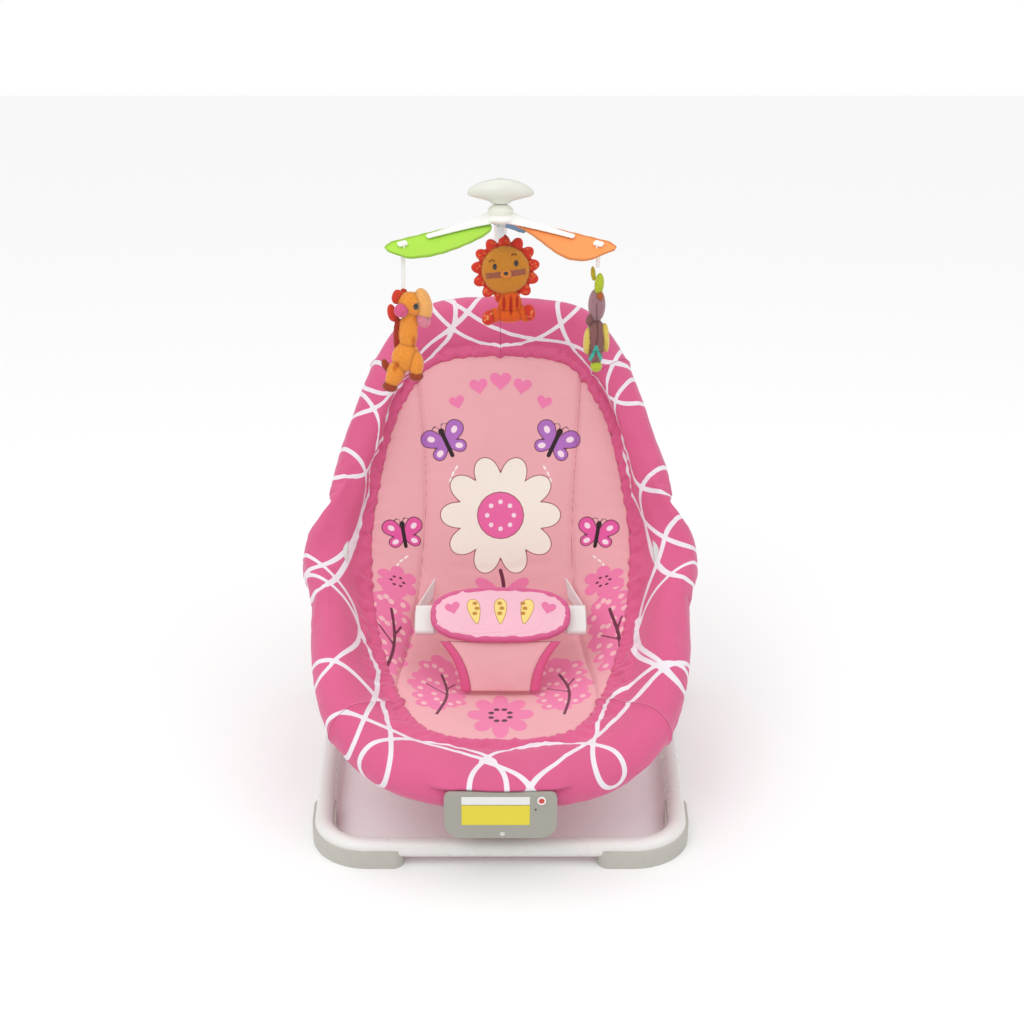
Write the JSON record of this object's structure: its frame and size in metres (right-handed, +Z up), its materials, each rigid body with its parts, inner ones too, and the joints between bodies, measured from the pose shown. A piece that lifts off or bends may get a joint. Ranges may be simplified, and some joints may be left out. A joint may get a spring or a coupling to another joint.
{
  "type": "baby bouncer seat",
  "caption": "Reclined baby bouncer seat on a floor loop with sprung arms, a vibration unit under its front rim and a spinning toy mobile on a mast.",
  "frame": {"origin": "on the floor, under the middle of the object's box", "axes": "+X to the side with the power button, +Y towards the head end, +Z up"},
  "size_m": [0.469, 0.5723, 0.6915],
  "materials": {
    "tube_white": "soft gloss powder coat",
    "steel": "zinc plated",
    "foot_plastic": "fine moulded grain",
    "hub_plastic": "fine moulded grain",
    "rim_fabric": "brushed polyester, padded, printed with pale loops",
    "pad_fabric": "brushed polyester, padded, printed",
    "panel_fabric": "brushed polyester with bound edges",
    "waist_fabric": "smooth printed fabric with a bound edge",
    "webbing": "woven webbing",
    "buckle_plastic": "moulded",
    "unit_plastic": "fine moulded grain",
    "button_red": "moulded",
    "lens": "tinted",
    "label": "blank film",
    "battery_case": "printed sleeve",
    "contact_brass": "plain",
    "circuit": "glass fibre board",
    "hood_plastic": "moulded, soft gloss",
    "spider_plastic": "moulded",
    "wing_green": "satin over a wire edge",
    "wing_orange": "satin over a wire edge",
    "wing_blue": "satin over a wire edge",
    "toy_orange": "short plush",
    "toy_red": "short plush",
    "toy_purple": "short plush",
    "ribbon_white": "woven ribbon"
  },
  "bodies": {
    "base": {"base_tube": "tube_white", "front_feet": "foot_plastic", "rear_feet": "foot_plastic", "foot_screws": "steel", "arm_clamps": "foot_plastic", "arm_pins": "steel"},
    "seat": {"spring_arms": "tube_white", "seat_hubs": "hub_plastic", "hub_bolts": "steel", "seat_frame": "tube_white", "seat_roll": "rim_fabric", "seat_pan": "pad_fabric", "left_seat_side": "rim_fabric", "right_seat_side": "rim_fabric", "crotch_panel": "panel_fabric", "waist_pad": "waist_fabric", "waist_straps": "webbing", "strap_receivers": "buckle_plastic", "unit_front_cover": "unit_plastic", "unit_housing": "unit_plastic", "unit_back_plate": "unit_plastic", "unit_clamps": "hub_plastic", "unit_screws": "steel", "battery_door": "unit_plastic", "batteries": "battery_case", "battery_contacts": "contact_brass", "motor": "steel", "circuit_board": "circuit", "indicator_light": "lens", "label_plates": "label"},
    "left_buckle": {"left_tongue": "buckle_plastic", "left_tail": "webbing"},
    "right_buckle": {"right_tongue": "buckle_plastic", "right_tail": "webbing"},
    "motor_rotor": {"motor_weight": "contact_brass"},
    "button": {"power_button": "button_red"},
    "backrest": {"back_hubs": "hub_plastic", "back_frame": "tube_white", "back_roll": "rim_fabric", "back_panel": "pad_fabric", "mast_bracket": "foot_plastic", "bracket_screws": "steel", "mast_pin": "steel"},
    "mast": {"mast_tube": "tube_white", "hood_top": "hood_plastic", "hood_base": "hood_plastic", "hood_screws": "steel", "spindle": "steel", "spindle_nut": "steel"},
    "spinner": {"spinner_hub": "hood_plastic", "spider": "spider_plastic", "left_wing": "wing_green", "right_wing": "wing_orange", "rear_wing": "wing_blue"},
    "left_pendant": {"left_toy": "toy_orange", "left_ribbon": "ribbon_white"},
    "rear_pendant": {"rear_toy": "toy_red", "rear_ribbon": "ribbon_white"},
    "right_pendant": {"right_toy": "toy_purple", "right_ribbon": "ribbon_white"}
  },
  "joints": [
    {"name": "bounce", "type": "hinge", "parent": "base", "child": "seat", "pos_m": [0, 0.14415, 0.05], "axis": [1, 0, 0], "range_deg": [-2.5, 2.5], "stiffness_Nm_per_rad": 160, "springref_deg": -2.86},
    {"name": "recline", "type": "hinge", "parent": "seat", "child": "backrest", "pos_m": [0, 0.05015, 0.23], "axis": [1, 0, 0], "range_deg": [-12, 12]},
    {"name": "mast_tilt", "type": "hinge", "parent": "backrest", "child": "mast", "pos_m": [0, 0.27515, 0.468], "axis": [1, 0, 0], "range_deg": [-60, 0]},
    {"name": "mobile_spin", "type": "hinge", "parent": "mast", "child": "spinner", "pos_m": [0, 0.00415, 0.65], "axis": [0, 0, 1], "continuous": true},
    {"name": "left_toy_swing", "type": "hinge", "parent": "spinner", "child": "left_pendant", "pos_m": [-0.10306, -0.05535, 0.62782], "axis": [0.5, -0.866, 0], "range_deg": [-30, 30]},
    {"name": "rear_toy_swing", "type": "hinge", "parent": "spinner", "child": "rear_pendant", "pos_m": [0, 0.12315, 0.62782], "axis": [-1, 0, 0], "range_deg": [-30, 30]},
    {"name": "right_toy_swing", "type": "hinge", "parent": "spinner", "child": "right_pendant", "pos_m": [0.10306, -0.05535, 0.62782], "axis": [0.5, 0.866, 0], "range_deg": [-30, 30]},
    {"name": "button_press", "type": "slide", "parent": "seat", "child": "button", "axis": [0, 1, 0], "range_m": [0, 0.001], "stiffness_N_per_m": 400, "springref_m": -0.001},
    {"name": "motor_spin", "type": "hinge", "parent": "seat", "child": "motor_rotor", "pos_m": [0, -0.25285, 0.066], "axis": [1, 0, 0], "continuous": true},
    {"name": "left_buckle_slide", "type": "slide", "parent": "seat", "child": "left_buckle", "axis": [1, 0, 0], "range_m": [0, 0.014]},
    {"name": "right_buckle_slide", "type": "slide", "parent": "seat", "child": "right_buckle", "axis": [-1, 0, 0], "range_m": [0, 0.014]}
  ]
}
